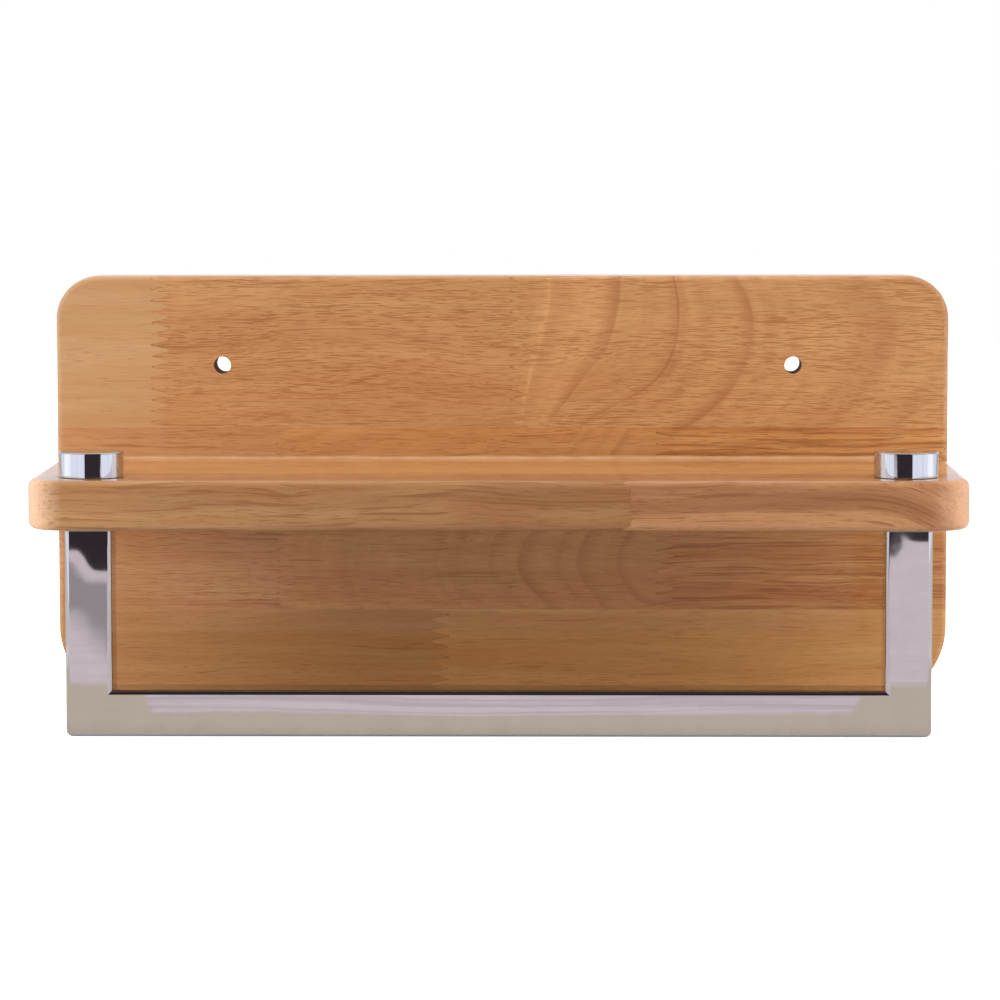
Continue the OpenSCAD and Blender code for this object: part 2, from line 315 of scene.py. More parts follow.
def with_rings(g, colour, pale, rings):
    """The colour under drawn ring arcs of uneven strength, with a faint ripple beside them."""
    field, dark_arcs, pale_arcs, ring_tone = rings
    at = g.math("MULTIPLY_ADD", g.wander, WANDER_Z, field(g, g.x, g.flow_z))
    ripple = g.noise(g.vector(g.math("MULTIPLY", at, 170.0), g.offset, 0.0), detail=2.0)
    colour = g.mix(g.fade(ripple, 0.40, 0.70, 0.0, RIPPLE_SHARE), colour, ring_tone)
    uneven = g.fade(g.grain_noise(ARC_GAPS), 0.3, 0.7, 0.35, 0.75)
    for arcs, arc_tone in ((pale_arcs, scaled(pale, 1.25)), (dark_arcs, ring_tone)):
        colour = g.mix(g.math("MULTIPLY", ring_lines(g, at, arcs), uneven), colour, arc_tone)
    return colour


def with_joints(g, colour, joints, glue_tone):
    """The colour under the glue lines of the finger joints, which show only in places."""
    for axis, joint in joints:
        mark = finger_mark(g, g.x, g.z if axis == "z" else g.y, joint)
        patchy = g.fade(g.grain_noise(JOINT_GAPS), 0.40, 0.6, 0.05, 0.8)
        colour = g.mix(g.math("MULTIPLY", mark, patchy), colour, glue_tone)
    return colour


def bare_hole(g, hole_x, hole_z, hole_r):
    """1 on the bare wall of a drilled hole, where painted shade darkens the wood, and 0 beyond
    it.
    """
    reach = g.distance(g.math("SUBTRACT", g.x, hole_x), g.math("SUBTRACT", g.z, hole_z))
    return clear_below(g, reach, hole_r + 0.02 * MM, 0.12 * MM)


def wood(name, pale, deep, seed, lines=0.5, dashes=0.5, bands=0.5, pith=(-60, -120),
         rings=None, knots=(), dips=(), layers=(), busy=None, highlit_end=None,
         joints=(), holes=()):
    """Lacquered rubberwood with its grain along X.

    pale and deep are its two tones. lines, dashes and bands say how many long dark lines,
    short open pores and broad growth bands show. pith is the growth rings' centre (y, z).
    rings is (field, dark arcs, pale arcs, colour) for drawn ring arcs, knots are (x, z, radius,
    push) swirls in the grain, dips are (x, amount) where the grain bends down, layers are
    (z, softness, share) paler layers, busy is (start, full), from where and by where towards
    +X the pores crowd, highlit_end is (start, full, colour) of a painted highlight that pales
    a rounded end and washes out its pores and lines.
    Those lengths are in mm. joints and holes come from finger_joint and wall_hole, in metres.
    """
    g = Grain(name, seed, knots, dips)
    streak = g.grain_noise(STREAK, detail=4.0, roughness=0.65)
    fibre = g.grain_noise(FIBRE, detail=2.0)
    rosy, dark = scaled(deep, 1.0, 0.80, 0.72), scaled(deep, 0.66, 0.52, 0.40)

    colour = g.mix(growth_tone(g, bands, pith, streak), pale, deep)
    flush = g.fade(g.grain_noise(FLUSH, detail=2.0), 0.46, 0.64, 0.0, FLUSH_SHARE * bands)
    colour = g.mix(flush, colour, rosy)
    for level, softness, share in layers:
        under = g.math("MULTIPLY", share, clear_below(g, g.bent_z, level * MM, softness * MM))
        colour = g.mix(under, colour, scaled(pale, 1.16))
    plain = 1.0
    # Painted highlight where light catches the stave's rounded end: the end pales to the given
    # colour and its pores and lines fade out
    if highlit_end is not None:
        end_highlight = g.fade(g.x, highlit_end[0] * MM, highlit_end[1] * MM, 0.0, END_HIGHLIGHT_SHARE)
        colour = g.mix(end_highlight, colour, highlit_end[2])
        plain = g.math("SUBTRACT", 1.0, end_highlight)
    crowd = g.fade(g.grain_noise(CROWDING, detail=2.0), 0.34, 0.64)
    if busy is not None:
        busy_end = g.fade(g.x, busy[0] * MM, busy[1] * MM)
        crowd = g.math("MAXIMUM", crowd, busy_end)
        colour = g.mix(g.math("MULTIPLY", busy_end, BUSY_SHARE), colour, dark)
    if rings is not None:
        colour = with_rings(g, colour, pale, rings)
    dash, long_line = pores_and_lines(g, dashes, lines, crowd, plain)
    colour = g.mix(g.math("MULTIPLY", long_line, LONG_LINE_DEPTH), colour, dark)
    colour = g.mix(g.math("MULTIPLY", dash, PORE_DEPTH), colour, dark)
    colour = g.mix(g.fade(fibre, 0.40, 0.72, 0.0, FIBRE_DEPTH), colour, dark)
    colour = with_joints(g, colour, joints, dark)

    gloss, coat = g.fade(streak, 0.2, 0.8, 0.42, 0.54), COAT
    for hole in holes:
        bare = bare_hole(g, *hole)
        # painted shade on the hole's bare wall, which also loses its coat and turns rough
        colour = g.mix(bare, colour, SHADED_HOLE_WALL)
        gloss = g.math("MAXIMUM", gloss, bare)
        coat = g.math("SUBTRACT", coat, g.math("MULTIPLY", bare, COAT))
    relief = g.math("SUBTRACT", g.math("MULTIPLY", fibre, 0.2),
                    g.math("MAXIMUM", dash, g.math("MULTIPLY", long_line, 0.6)))
    unevenness = g.noise(g.vector(g.math("MULTIPLY", g.x, 55.0), g.math("MULTIPLY", g.y, 110.0),
                                  g.math("MULTIPLY", g.flow_z, 110.0)), detail=3.0)
    g.set("Base Color", colour)
    g.set("Roughness", gloss)
    g.set("Specular IOR Level", 0.25)
    g.set("Coat Weight", coat)
    g.set("Coat Roughness", 0.05)
    g.set("Coat IOR", 1.3)
    g.set("Normal", g.bump(relief, 0.03 * MM))
    g.set("Coat Normal", g.bump(unevenness, 0.03 * MM))
    return g.material


def top_right_field(g, x, z):
    """Ring arcs that bulge to the right: nested ovals whose centre sinks further right, and
    which curve back sooner above it."""
    spread = g.math("POWER", g.math("DIVIDE", x, 52 * MM), 4.0)
    centre = g.math("ADD", 10 * MM, g.math("DIVIDE", 26 * MM, g.math("ADD", spread, 1.0)))
    half_height = g.fade_line(x, 10 * MM, 60 * MM, 50 * MM, 60 * MM)
    rise = g.math("DIVIDE", g.math("SUBTRACT", z, centre), half_height)
    rise = g.math("MAXIMUM", rise, g.math("MULTIPLY", rise, 1.35))
    square = g.math("MULTIPLY", rise, rise)
    bend = g.math("MULTIPLY_ADD", g.math("MULTIPLY_ADD", square, 0.55, 0.55), square, 1.0)
    return g.math("MULTIPLY", x, bend)


def middle_centre_field(g, x, z):
    """Ring arcs that bulge to the left, rounder towards the stave's right end.
    The field falls towards the arcs' centre, so it is measured from there."""
    stretch = g.fade_line(x, 5 * MM, 45 * MM, 2.3, 0.9)
    rise = g.math("MULTIPLY", g.math("SUBTRACT", z, -67 * MM), stretch)
    across = g.math("SUBTRACT", x, 52 * MM)
    return g.distance(across, rise)


# Joints whose zigzag has its base on the left, by their left-hand stave
LEFT_BASED = ("bottom_left_stave", "shelf_rear_left_stave")


def finger_joint(left, right, axis, low, high):
    """A finger joint between two staves, worked out from their boxes. Its fingers point along
    X. Gives the axis its zigzag runs along, then the zigzag's base and point in X, its low
    and high limits and its number of fingers."""
    tip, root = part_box(left)[1].x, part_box(right)[0].x
    count = round((high - low) / FINGER_PITCH)
    base, point = (root, tip) if left in LEFT_BASED else (tip, root)
    return axis, (base, point, low, high, count)


overrun = 1 * MM        # how far a zigzag runs on past the edge of its board
top_low, top_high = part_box("top_middle_stave")[0].z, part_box("top_middle_stave")[1].z + overrun
row_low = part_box("middle_left_stave")[0].z
bottom_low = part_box("bottom_left_stave")[0].z - overrun
front_low, row_y = shelf_low.y - overrun, shelf_high.y
rear_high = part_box("shelf_rear_left_stave")[1].y + overrun
joint_list = [
    ("top_left_stave", "top_middle_stave", "z", top_low, top_high),
    ("top_middle_stave", "top_right_stave", "z", top_low, top_high),
    ("middle_left_stave", "middle_centre_stave", "z", row_low, top_low),
    ("middle_centre_stave", "middle_right_stave", "z", row_low, top_low),
    ("bottom_left_stave", "bottom_right_stave", "z", bottom_low, row_low),
    ("shelf_front_left_stave", "shelf_front_right_stave", "y", front_low, row_y),
    ("shelf_rear_left_stave", "shelf_rear_right_stave", "y", row_y, rear_high),
]
holes_mount = next(m for m in frame["record"]["mounts"] if m["name"] == "wall_holes")
hole_r = holes_mount["dims"]["hole_r_mm"] * MM
hole_reach = holes_mount["dims"]["spacing_x_mm"] / 2 * MM


def wall_hole(side):
    """Centre x and z, and radius, of the wall hole on one side (-1 or 1)."""
    at = holes_mount["pos_m"]
    return at[0] + side * hole_reach, at[2], hole_r


stave_woods = {
    "top_left_stave": dict(pale=rgb(199, 158, 114), deep=rgb(188, 142, 92), seed=1, lines=0.1,
                           dashes=0.0, bands=0.5, pith=(40, 60)),
    "top_middle_stave": dict(pale=rgb(203, 153, 101), deep=rgb(184, 130, 82), seed=2, lines=0.75,
                             dashes=0.85, bands=0.7, pith=(60, 40),
                             knots=((-58.7, -1, 6, 0.4),), holes=(wall_hole(-1),)),
    "top_right_stave": dict(
        pale=rgb(206, 156, 104), deep=rgb(190, 138, 86), seed=3, lines=0.35, dashes=0.9,
        bands=0.4, pith=(20, 10),
        rings=(top_right_field,
               [(39, 5, 0.7), (59, 1.2, 0.8), (61, 8, 0.4), (83, 6, 0.85), (130, 16, 0.6),
                (157, 7, 0.6)], [(16, 3, 0.7), (32, 24, 0.45), (190, 30, 0.6)], ROSE_LINE),
        holes=(wall_hole(1),)),
    "middle_left_stave": dict(pale=rgb(205, 154, 104), deep=rgb(187, 132, 85), seed=4, lines=0.8,
                              dashes=0.6, bands=0.8, pith=(50, -40)),
    "middle_centre_stave": dict(
        pale=rgb(204, 150, 93), deep=rgb(186, 128, 75), seed=5, lines=0.45, dashes=0.5,
        bands=0.5, pith=(-60, 10),
        rings=(middle_centre_field, [(13, 4, 0.7), (26, 5, 0.7), (46, 4, 0.8)], [],
               ROSE_LINE)),
    "middle_right_stave": dict(pale=rgb(214, 158, 96), deep=rgb(168, 107, 57), seed=6,
                               lines=1.35, dashes=0.5, bands=1.0, pith=(30, -95)),
    "bottom_left_stave": dict(pale=rgb(193, 143, 90), deep=rgb(174, 122, 71), seed=7,
                              lines=0.45, dashes=0.2, bands=0.6, pith=(40, -60)),
    "bottom_right_stave": dict(pale=rgb(207, 156, 97), deep=rgb(188, 134, 77), seed=8,
                               lines=0.4, dashes=0.45, bands=0.6, pith=(60, -150),
                               knots=((79, -91, 5, 0.6),)),
    # The shelf front staves' pale ends are a painted highlight on the shelf's rounded corners
    "shelf_front_left_stave": dict(pale=rgb(181, 137, 90), deep=rgb(154, 108, 66), seed=9,
                                   lines=1.25, dashes=0.35, bands=1.0, pith=(-60, 20),
                                   busy=(-25, 5), highlit_end=(-137, -150, rgb(228, 185, 151)),
                                   knots=((-66, -33, 4, 0.6), (-16, -41, 6, 0.5))),
    "shelf_front_right_stave": dict(pale=rgb(178, 130, 87), deep=rgb(150, 101, 64), seed=10,
                                    lines=1.0, dashes=0.4, bands=1.0, pith=(-125, -85),
                                    dips=((102, 140.0),), layers=((-41.7, 0.8, 0.6),),
                                    highlit_end=(134, 153, rgb(214, 162, 122))),
    "shelf_rear_left_stave": dict(pale=rgb(202, 149, 93), deep=rgb(190, 134, 80), seed=11,
                                  lines=0.5, dashes=0.4),
    "shelf_rear_right_stave": dict(pale=rgb(204, 153, 97), deep=rgb(192, 138, 84), seed=12,
                                   lines=0.6, dashes=0.4),
}


# ---- Metals and plastic ----------------------------------------------------------------

def chrome(name, tint, seed, wave=0.12, wavelength=26.0, lathe=0.0):
    """Polished chrome: faint smears in its gloss, the slight waviness of a buffed face and,
    on turned parts, fine lathe lines round Z. wave, wavelength and lathe are in mm."""
    g = Graph(name)
    x, y, z = g.place()
    point = g.vector(x, y, z)
    smear = g.noise(point, scale=110.0, detail=4.0, roughness=0.6)
    g.set("Base Color", g.mix(g.fade(smear, 0.40, 0.75, 0.0, 0.45), tint,
                              scaled(tint, 0.9)))
    g.set("Metallic", 1.0)
    g.set("Roughness", g.fade(smear, 0.3, 0.8, 0.02, 0.05))
    waves = g.noise(g.vector(g.math("ADD", x, seed * 0.31), y, z),
                    scale=1 / (wavelength * MM), detail=2.0, roughness=0.4)
    height = g.bump(waves, wave * MM)
    if lathe:
        line = g.noise(g.vector(g.math("MULTIPLY", x, 280.0), g.math("MULTIPLY", y, 280.0),
                                g.math("MULTIPLY", z, 1500.0)), detail=2.0)
        height = g.bump(line, lathe * MM, under=height)
    g.set("Normal", height)
    return g.material


def steel(name, tint, roughness):
    """Plated steel, with a fine mottle in colour and gloss."""
    g = Graph(name)
    x, y, z = g.place()
    mottle = g.noise(g.vector(x, y, z), scale=300.0, detail=4.0, roughness=0.65)
    g.set("Base Color", g.mix(g.fade(mottle, 0.3, 0.75), tint, scaled(tint, 0.7)))
    g.set("Metallic", 1.0)
    g.set("Roughness", g.fade(mottle, 0.2, 0.8, roughness * 0.8, roughness * 1.25))
    g.set("Normal", g.bump(mottle, 0.02 * MM))
    return g.material


def nylon(name, tint):
    """Milky moulded nylon with a faint grain."""
    g = Graph(name)
    x, y, z = g.place()
    grain = g.noise(g.vector(x, y, z), scale=900.0, detail=3.0)
    g.set("Base Color", g.mix(g.fade(grain, 0.3, 0.7), tint, scaled(tint, 0.88)))
    g.set("Roughness", g.fade(grain, 0.2, 0.8, 0.4, 0.55))
    g.set("Subsurface Weight", 0.15)
    g.set("Subsurface Scale", 0.6 * MM)
    g.set("Normal", g.bump(grain, 0.02 * MM))
    return g.material


def dress(node, material):
    """Gives a CAD node one material, in place of what it had."""
    slots = frame["nodes"][node].data.materials
    slots.clear()
    slots.append(material)


for node, looks in stave_woods.items():
    joints = [finger_joint(*joint) for joint in joint_list if node in joint[:2]]
    dress(node, wood("wood_" + node, joints=joints, **looks))
dress("shelf_dowels", wood("dowel_beech", rgb(214, 178, 130), rgb(196, 152, 104), 13, 0.2, 0.4))
tube_tint = (0.57, 0.56, 0.56, 1.0)
cap_tint = (0.60, 0.61, 0.64, 1.0)
for index, node in enumerate(["cross_bar", "left_leg", "right_leg"]):
    dress(node, chrome("chrome_" + node, tube_tint, index + 1))
for index, node in enumerate(["left_cap_nut", "right_cap_nut"]):
    dress(node, chrome("chrome_" + node, cap_tint, index + 5, wave=0.004, wavelength=9.0,
                       lathe=0.005))
zinc = steel("zinc_steel", (0.62, 0.62, 0.60, 1.0), 0.32)
plug = steel("plug_steel", (0.42, 0.38, 0.34, 1.0), 0.38)
white_nylon = nylon("washer_nylon", (0.82, 0.82, 0.78, 1.0))
for side in ("left", "right"):
    dress(side + "_stud", zinc)
    dress(side + "_end_plug", plug)
    dress(side + "_washer", white_nylon)
dress("shelf_screws", zinc)


# ---- Pieces made here --------------------------------------------------------------------

SHARP = math.radians(40)        # edges that turn more than this stay sharp


def finished(name, mesh, material, body):
    """Turns a bmesh into a smooth-shaded piece that rides on a body."""
    bmesh.ops.recalc_face_normals(mesh, faces=mesh.faces)
    data = bpy.data.meshes.new(name)
    mesh.to_mesh(data)
    mesh.free()
    data.materials.append(material)
    data.shade_smooth()
    data.set_sharp_from_angle(angle=SHARP)
    made = bpy.data.objects.new(name, data)
    bpy.context.scene.collection.objects.link(made)
    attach(made, body)
    return made


def bridge(mesh, one, other):
    """Closes the band between two loops that have as many points each."""
    for step in range(len(one)):
        after = (step + 1) % len(one)
        mesh.faces.new((one[step], one[after], other[after], other[step]))


def threaded_stud(side):
    """M6 stud with its real helical thread in place of the plain CAD cylinder."""
    low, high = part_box(side + "_stud")
    middle_x, middle_y = (low.x + high.x) / 2, (low.y + high.y) / 2
    crest = (high.x - low.x) / 2
    root = crest - 0.56 * MM
    pitch, chamfer = 1.0 * MM, 0.7 * MM
    end_step = 0.3 * MM                 # how far below the thread's root the ends are cut
    flank_from, flank_share = 0.12, 0.70    # flats at root and crest take the rest
    around, rows_per_turn = 40, 8
    rows = round((high.z - low.z) / pitch * rows_per_turn)
    mesh = bmesh.new()
    rings = []
    for row in range(rows + 1):
        z = low.z + (high.z - low.z) * row / rows
        end_room = min(z - low.z, high.z - z)
        limit = min(crest, root - end_step + end_room / chamfer * (crest - root + end_step))
        ring = []
        for step in range(around):
            turn = step / around
            phase = (z / pitch - turn) % 1.0
            ridge = 1.0 - abs(2.0 * phase - 1.0)
            flank = min(max((ridge - flank_from) / flank_share, 0.0), 1.0)
            radius = min(limit, root + flank * (crest - root))
            angle = 2 * math.pi * turn
            ring.append(mesh.verts.new((middle_x + radius * math.cos(angle),
                                        middle_y + radius * math.sin(angle), z)))
        rings.append(ring)
    for lower, upper in zip(rings, rings[1:]):
        bridge(mesh, lower, upper)
    mesh.faces.new(list(reversed(rings[0])))
    mesh.faces.new(rings[-1])
    made = finished(side + "_stud_thread", mesh, zinc, "holder")
    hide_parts(side + "_stud")


def lacquer(name):
    """Pooled clear lacquer over wood: amber, glossy and a little uneven. Its amber is paler than
    the wood around it, a painted highlight along the bead.
    """
    g = Graph(name)
    x, y, z = g.place()
    uneven = g.noise(g.vector(g.math("MULTIPLY", x, 120.0), g.math("MULTIPLY", y, 300.0),
                              g.math("MULTIPLY", z, 300.0)), detail=3.0)
    # painted highlight: the pale amber stands in for the light the bead catches
    g.set("Base Color", g.mix(g.fade(uneven, 0.3, 0.7), rgb(206, 158, 114),
                              rgb(192, 138, 92)))
    g.set("Roughness", g.fade(uneven, 0.2, 0.8, 0.14, 0.26))
    g.set("Coat Weight", 1.0)
    g.set("Coat Roughness", 0.06)
    g.set("Normal", g.bump(uneven, 0.12 * MM))
    return g.material


def lacquer_bead():
    """The concave bead of lacquer that has run into the corner between shelf and board."""
    half_length, radius, least = 148.5 * MM, 1.0 * MM, 0.05 * MM
    steps, stations = 6, 100
    end_share = 1 / 30          # the bead thins out over this share of its length
    swell = 0.12                # it is thicker and thinner by this share, in slow waves
    mesh = bmesh.new()
    loops = []
    for station in range(stations + 1):
        share = station / stations
        x = -half_length + 2 * half_length * share
        ends = min(1.0, min(share, 1 - share) / end_share)
        waves = math.sin(61 * share) * math.sin(23 * share)
        size = max(radius * math.sqrt(ends) * (1 + swell * waves), least)
        arc = [math.pi / 2 * step / steps for step in range(steps + 1)]
        points = [(board_front - size * (1 - math.sin(a)), shelf_top + size * (1 - math.cos(a)))
                  for a in arc]
        points.append((board_front, shelf_top))
        loops.append([mesh.verts.new((x, y, z)) for y, z in points])
    for left, right in zip(loops, loops[1:]):
        bridge(mesh, right, left)
    mesh.faces.new(loops[0])
    mesh.faces.new(list(reversed(loops[-1])))
    finished("lacquer_bead", mesh, lacquer("lacquer_bead"), "holder")


def recess_cutter(low, high):
    """Cross-shaped, tapered tools that cut the recesses into the three screw heads."""
    head_r = (high.z - low.z) / 2
    arm, width = 0.50 * head_r, 0.14 * head_r
    mouth, bottom = (high.y + 0.5 * MM, 1.15), (high.y - 2.0 * MM, 0.45)    # (y, arm's share)
    cutter = bmesh.new()
    for x in (low.x + head_r, (low.x + high.x) / 2, high.x - head_r):
        for along_x in (True, False):
            ends = []
            for y, taper in (mouth, bottom):
                half_x, half_z = (arm * taper, width) if along_x else (width, arm * taper)
                ends.append([cutter.verts.new((x + sx * half_x, y, low.z + head_r + sz * half_z))
                             for sx, sz in ((-1, -1), (1, -1), (1, 1), (-1, 1))])
            outer, inner = ends
            cutter.faces.new(outer)
            cutter.faces.new(list(reversed(inner)))
            bridge(cutter, inner, outer)
    bmesh.ops.recalc_face_normals(cutter, faces=cutter.faces)
    data = bpy.data.meshes.new("recess_cutter")
    cutter.to_mesh(data)
    cutter.free()
    made = bpy.data.objects.new("recess_cutter", data)
    bpy.context.scene.collection.objects.link(made)
    return made


def recessed_screws():
    """The three wood screws, with the cross recess for a driver cut into each head."""
    screws = bmesh.new()
    screws.from_mesh(frame["nodes"]["shelf_screws"].data)
    bmesh.ops.remove_doubles(screws, verts=screws.verts, dist=0.001 * MM)
    made = finished("shelf_screws_recessed", screws, zinc, "holder")
    cutter = recess_cutter(*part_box("shelf_screws"))
    cut = made.modifiers.new("recess", "BOOLEAN")
    cut.operation, cut.solver = "DIFFERENCE", "EXACT"
    cut.object, cut.use_self = cutter, True
    bpy.context.view_layer.update()
    whole = made.evaluated_get(bpy.context.evaluated_depsgraph_get())
    result = bpy.data.meshes.new_from_object(whole)
    made.modifiers.clear()
    made.data = result
    result.set_sharp_from_angle(angle=SHARP)
    for face in result.polygons:
        face.use_smooth = face.normal.y < 0.99      # the flat faces of the heads stay flat
    bpy.data.objects.remove(cutter)
    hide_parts("shelf_screws")


for side in ("left", "right"):
    threaded_stud(side)
lacquer_bead()
recessed_screws()


# ---- Floor, studio cards and light -----------------------------------------------------

DARK_ROOM = (0.045, 0.033, 0.040, 1.0)
# Painted shade on the mirrored table: the object's warm shade near it, its contact shadow and a
# grey shadow out to the left
TABLE_WARM_SHADE, TABLE_CONTACT_SHADOW = (0.78, 0.67, 0.565, 1), (0.45, 0.38, 0.32, 1)
TABLE_COOL, TABLE_STREAK = (0.94, 0.84, 0.90, 1), (0.74, 0.64, 0.69, 1)
TABLE_SHADOW_PATCH = (0.47, 0.41, 0.465, 1)
SIDE_FRONT, SIDE_FOLD = (1.03, 1.06, 1.22, 1), (1.17, 1.19, 1.33, 1)
SIDE_BRIGHT, SIDE_BEHIND = (1.50, 1.50, 1.54, 1), (1.00, 1.03, 1.10, 1)
FLOOR_PALE, FLOOR_DULL, FLOOR_GLOW = (0.60, 0.59, 0.58, 1), (0.57, 0.56, 0.555, 1), 0.88
BLACK, WHITE = (0.0, 0.0, 0.0, 1.0), (1.0, 1.0, 1.0, 1.0)


def plane(name, corners, material):
    """A flat piece of the studio, which isn't part of the object."""
    mesh = bpy.data.meshes.new(name)
    mesh.from_pydata([Vector(c) for c in corners], [], [tuple(range(len(corners)))])
    mesh.materials.append(material)
    made = bpy.data.objects.new(name, mesh)
    bpy.context.scene.collection.objects.link(made)
    return made


def level_plane(name, start, end, height, material):
    """A level piece centred on x = 0. start and end are its (y, half width) at either end."""
    near, near_half = start
    far, far_half = end
    return plane(name, [(-near_half, near, height), (near_half, near, height),
                        (far_half, far, height), (-far_half, far, height)], material)


def floor_material():
    """Pale sweep, overexposed to white behind the object as in a product picture."""
    g = Graph("floor_white")
    x, y, z = g.place()
    grain = g.noise(g.vector(x, y, z), scale=14.0, detail=3.0)
    g.set("Base Color", g.mix(g.fade(grain, 0.3, 0.7), FLOOR_PALE, FLOOR_DULL))
    g.set("Roughness", 0.8)
    g.set("Specular IOR Level", 0.2)
    g.set("Emission Color", WHITE)
    seen = g.add("ShaderNodeLightPath").outputs["Is Camera Ray"]
    g.set("Emission Strength", g.math("MULTIPLY", seen, FLOOR_GLOW))
    return g.material


def card_material(name, colour):
    """A card that only glows. colour is a colour, or a function of the graph that makes one."""
    g = Graph(name)
    g.set("Base Color", BLACK)
    g.set("Specular IOR Level", 0.0)
    g.set("Roughness", 1.0)
    g.set("Emission Color", colour(g) if callable(colour) else colour)
    g.set("Emission Strength", 1.0)
    return g.material


def tabletop_tones(g):
    """What the rail mirrors from the table: warm painted shade close to the object, where the
    wood throws its colour into the shade, and a painted contact shadow right at it, cool and
    finely streaked further out, with a grey painted shadow out to the left, and dark past its
    edge.
    All distances are in metres, and out is how far a point lies in front of the rail."""
    x, y, z = g.place()
    out = g.math("SUBTRACT", leg_front, y)
    side = g.math("ABSOLUTE", x)
    wobble = g.math("SUBTRACT", g.noise(g.vector(x, y, z), scale=9.0, detail=1.0), 0.5)
    near = g.math("MULTIPLY", out, g.math("MULTIPLY_ADD", wobble, 0.5, 1.0))

    streak = g.noise(g.vector(g.math("MULTIPLY", x, 6.0), g.math("MULTIPLY", near, 90.0), 0.0),
                     detail=2.0)
    under_bar = g.fade(side, 0.118, 0.130, 0.8, 0.25)
    streaked = g.math("MULTIPLY", g.fade(streak, 0.42, 0.60), under_bar)
    cool = g.mix(streaked, TABLE_COOL, TABLE_STREAK)
    # painted shade of the object on the table, warm with light thrown off the wood
    warm_shade_reach = g.fade(side, 0.114, 0.130, 0.047, 0.126)
    past_warm_shade = g.math("DIVIDE", near, warm_shade_reach)
    tone = g.mix(g.fade(past_warm_shade, 0.86, 1.12), TABLE_WARM_SHADE, cool)
    # painted contact shadow where the table meets the object
    tone = g.mix(g.fade(out, 0.0, 0.03, 0.22, 0.0), tone, TABLE_CONTACT_SHADOW)

    # the table's edge, which runs at a slant at either side
    edge_left = g.fade_line(x, -0.2005, -0.1855, 0.577, 0.512)
    edge_right = g.fade_line(x, 0.1715, 0.1770, 0.575, 0.627)
    edge = g.math("ADD", edge_left, g.math("MULTIPLY", g.math("GREATER_THAN", x, 0.0),
                                           g.math("SUBTRACT", edge_right, edge_left)))
    past_edge = g.math("SUBTRACT", out, edge)
    # painted shadow: a grey patch out to the left, where the object shades the table
    shadow_patch_from = g.fade_line(x, -0.175, -0.146, 0.325, 0.200)
    shadow_patch = g.math("MULTIPLY", g.fade(g.math("SUBTRACT", out, shadow_patch_from), -0.04, 0.04),
                   g.fade(past_edge, -0.055, -0.035, 1.0, 0.0))
    shadow_patch = g.math("MULTIPLY", g.fade(x, -0.14, -0.12, 1.0, 0.0), shadow_patch)
    tone = g.mix(shadow_patch, tone, TABLE_SHADOW_PATCH)
    return g.mix(g.fade(past_edge, -0.0015, 0.0015), tone, DARK_ROOM)


def side_tones(g):
    """White side card, a little blue towards the front, brightest square to the side,
    and greyer behind the object and higher up."""
    x, y, z = g.place()
    fold = g.noise(g.vector(g.math("MULTIPLY", x, 7.0), g.math("MULTIPLY", y, 7.0), 0.0),
                   detail=1.0)
    cool = g.mix(g.fade(fold, 0.35, 0.65), SIDE_FRONT, SIDE_FOLD)
    near = g.mix(g.fade(y, -0.32, -0.12), cool, SIDE_BRIGHT)
    level = g.mix(g.fade(y, 0.02, 0.30), near, SIDE_BEHIND)
    return g.mix(g.fade(z, 0.03, 0.15, 0.0, 0.45), level, BLACK)


def reflected_only(card):
    """A studio card that only mirrors see."""
    card.visible_camera = False
    card.visible_diffuse = False
    card.visible_shadow = False
    card.visible_transmission = False
    return card


def upright(name, here, there, top, material):
    """A standing card over the line from here to there on the floor."""
    reflected_only(plane(name, [(*here, card_z), (*there, card_z), (*there, top), (*here, top)],
                         material))


floor_half = 2.2
card_z = floor_z + MM
table_near, table_far, table_half = leg_front, -0.75, 0.30
room_spread = math.radians(46)          # half the angle at which the dark room opens out
room_far, room_top, ceiling_near = -2.6, 1.0, -0.33
room_half = table_half + (table_far - room_far) * math.tan(room_spread)
side_card_top = 0.9

level_plane("floor", (-floor_half, floor_half), (floor_half, floor_half), floor_z,
            floor_material())
reflected_only(level_plane("tabletop_card", (table_near, table_half), (table_far, table_half),
                           card_z, card_material("card_tabletop", tabletop_tones)))
dark = card_material("card_dark", DARK_ROOM)
reflected_only(level_plane("dark_floor_card", (table_far, table_half), (room_far, room_half),
                           card_z, dark))
upright("dark_room_card", (-room_half, room_far), (room_half, room_far), room_top, dark)
reflected_only(level_plane("dark_ceiling_card", (room_far, room_half), (ceiling_near, room_half),
                           room_top, dark))
white = card_material("card_white", side_tones)
# The side cards' course over the floor, as points (x, y) from the front round to the back
card_lines = {"left": [(-0.25, -0.437), (-0.60, -0.36), (-0.85, 0.02), (-1.0, 1.1), (0, 1.5)],
              "right": [(0.30, -0.60), (0.66, -0.40), (0.85, 0.02), (1.0, 1.1), (0, 1.5)]}
for side, line in card_lines.items():
    for part, (here, there) in enumerate(zip(line, line[1:])):
        upright("white_" + side + "_card_" + str(part + 1), here, there, side_card_top, white)


def softbox(name, place, aim, size, radiance, colour):
    """An evenly bright softbox. Mirrors don't see it: the cards stand in for it there."""
    data = bpy.data.lights.new(name, "AREA")
    data.shape = "RECTANGLE"
    data.size, data.size_y = size
    data.energy = radiance * math.pi * size[0] * size[1]
    data.color = colour
    lamp = bpy.data.objects.new(name, data)
    lamp.location = place
    lamp.rotation_mode = "QUATERNION"
    lamp.rotation_quaternion = (Vector(aim) - Vector(place)).to_track_quat("-Z", "Y")
    bpy.context.scene.collection.objects.link(lamp)
    lamp.visible_camera = False
    lamp.visible_glossy = False
    return lamp


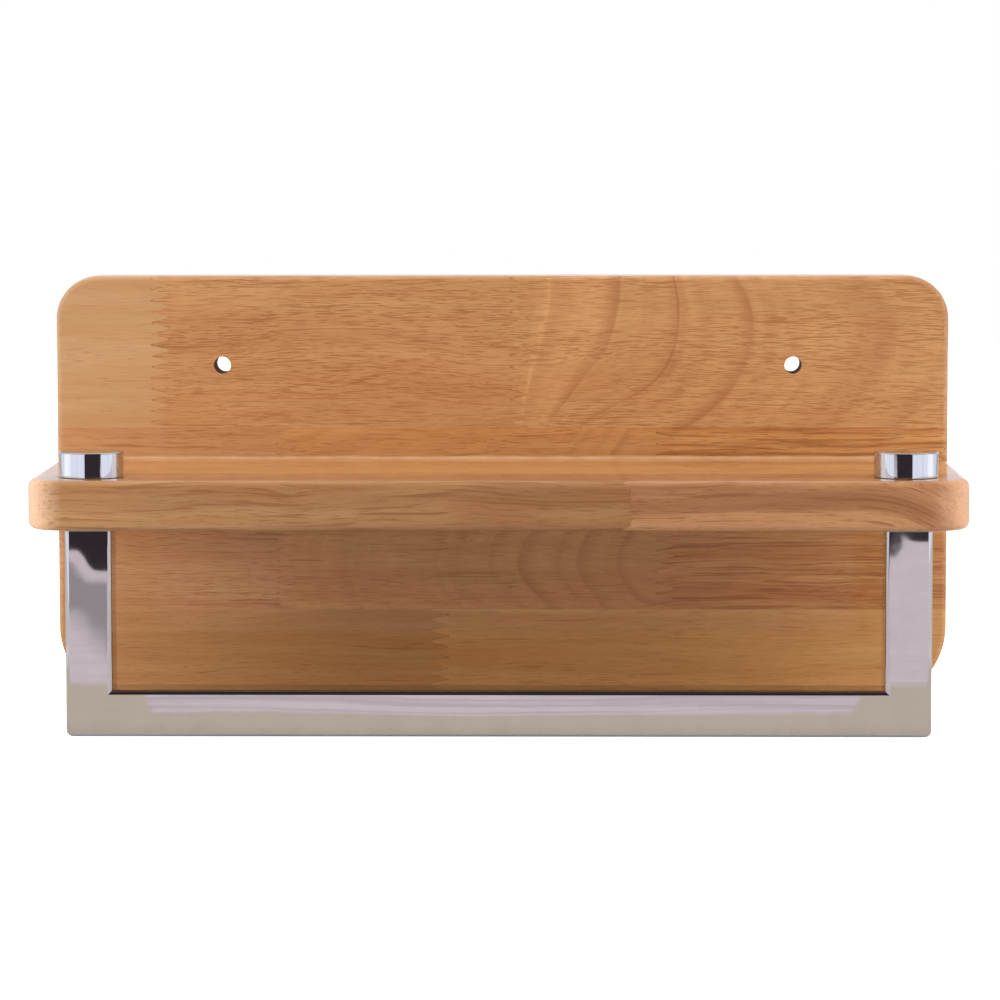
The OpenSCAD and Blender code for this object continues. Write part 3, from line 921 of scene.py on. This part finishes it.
middle = Vector((0, board_front, shelf_top))
low_middle = Vector((0, board_front, rail_bottom))
for side, name in ((-1, "left"), (1, "right")):
    softbox("softbox_" + name, place=(side * 0.66, -0.50, 0.34), aim=middle, size=(0.8, 0.9),
            radiance=1.33, colour=(0.97, 0.985, 1.0))
softbox("softbox_top", place=(0, -0.20, 1.0), aim=middle, size=(1.3, 0.9),
        radiance=2.07, colour=(1.0, 0.99, 0.97))
for side, name, radiance in ((-1, "left", 0.97), (1, "right", 0.83)):
    kicker = softbox("kicker_" + name, place=(side * 0.34, -0.20, -0.03), aim=low_middle,
                     size=(0.2, 0.16), radiance=radiance, colour=(1.0, 0.98, 0.95))
    kicker.data.spread = math.radians(75)

FRONT_FILL, BACKDROP = 0.24, 0.92
FRONT_TO, BACK_FROM = -0.35, -0.05      # a direction's Y: dim below the first, white above


def studio_world():
    """White backdrop behind the object and, for everything but the camera, a dim front."""
    world = bpy.data.worlds.new("studio")
    world.use_nodes = True
    nodes, links = world.node_tree.nodes, world.node_tree.links
    toward = nodes.new("ShaderNodeSeparateXYZ")
    links.new(nodes.new("ShaderNodeTexCoord").outputs["Generated"], toward.inputs[0])
    level = nodes.new("ShaderNodeMapRange")
    for name, value in (("From Min", FRONT_TO), ("From Max", BACK_FROM),
                        ("To Min", FRONT_FILL), ("To Max", BACKDROP)):
        level.inputs[name].default_value = value
    links.new(toward.outputs["Y"], level.inputs["Value"])
    brighter = nodes.new("ShaderNodeMath")
    brighter.operation = "MAXIMUM"
    links.new(level.outputs["Result"], brighter.inputs[0])
    links.new(nodes.new("ShaderNodeLightPath").outputs["Is Camera Ray"], brighter.inputs[1])
    background = nodes["Background"]
    background.inputs["Color"].default_value = WHITE
    links.new(brighter.outputs[0], background.inputs["Strength"])
    bpy.context.scene.world = world


studio_world()


# ---- Camera ----------------------------------------------------------------------------

def camera():
    """Stands 1.34 m in front of the shelf and a little above it, nearly square on, and looks
    down at it by 5 degrees."""
    data = bpy.data.cameras.new("camera")
    data.sensor_width = 36.0
    data.lens = 153.0
    data.clip_start, data.clip_end = 0.05, 30.0
    made = bpy.data.objects.new("camera", data)
    turn, down, tilt = -0.0162, 0.0897, -0.0010         # radians
    beside, away, above = 0.0225, 1.4276, 0.1144        # metres, from mid-shelf at the board
    made.rotation_mode = "XYZ"
    toward = Vector((math.sin(turn) * math.cos(down), math.cos(turn) * math.cos(down),
                     -math.sin(down)))
    flat = Vector((math.cos(turn), -math.sin(turn), 0))
    upward = flat.cross(toward)
    right = math.cos(tilt) * flat + math.sin(tilt) * upward
    up = -math.sin(tilt) * flat + math.cos(tilt) * upward
    spot = Vector((beside, board_front - away, shelf_top + above))
    made.matrix_world = Matrix.Translation(spot) @ Matrix(
        (right, up, -toward)).transposed().to_4x4()
    bpy.context.scene.collection.objects.link(made)
    bpy.context.scene.camera = made


camera()
bpy.context.scene.view_settings.view_transform = "Standard"
